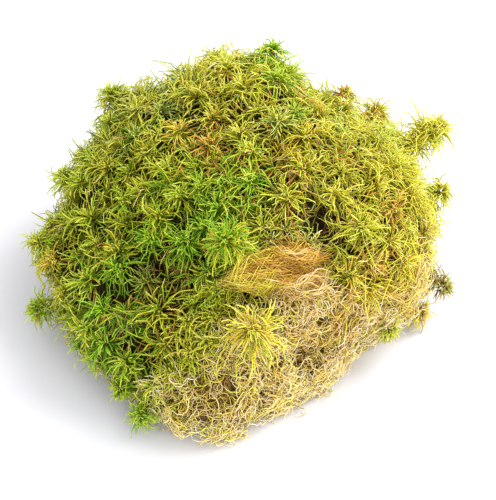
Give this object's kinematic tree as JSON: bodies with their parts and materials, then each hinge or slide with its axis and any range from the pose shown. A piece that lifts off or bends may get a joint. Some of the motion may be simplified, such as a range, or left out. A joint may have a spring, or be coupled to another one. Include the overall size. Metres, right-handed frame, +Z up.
{
  "type": "moss clump",
  "caption": "Low mound of living bog moss with star-shaped heads over bleached stems, torn open at the front right and cut off flat underneath.",
  "frame": {"origin": "under the middle of the clump, on the flat cut face that stands on the table", "axes": "+Z up, -Y towards the torn front, +X to the right of the torn front, along the clump's length"},
  "size_m": [0.1756, 0.1602, 0.0954],
  "materials": {
    "living_moss": "soft, matte",
    "bleached_stems": "dry, matte",
    "green_plant": "soft, matte",
    "yellow_plant": "soft, matte",
    "dry_tan_moss": "dry, matte",
    "twig_bark": "rough"
  },
  "bodies": {
    "root": {"living_cushion": "living_moss", "bleached_stems": "bleached_stems", "plant_front_foot": "green_plant", "plant_front_low": "green_plant", "plant_left_low": "green_plant", "plant_left_edge": "green_plant", "plant_left_side": "green_plant", "plant_back_left": "green_plant", "bright_star_plant": "green_plant", "plant_back_crown": "yellow_plant", "plant_back_red": "yellow_plant", "plant_back_right": "yellow_plant", "plant_upper_right": "yellow_plant", "plant_right_edge": "yellow_plant", "plant_right_low": "yellow_plant", "plant_right_foot": "yellow_plant", "plant_right_base": "yellow_plant", "drooping_plant": "yellow_plant", "dry_tuft": "dry_tan_moss", "twig": "twig_bark"}
  },
  "joints": []
}
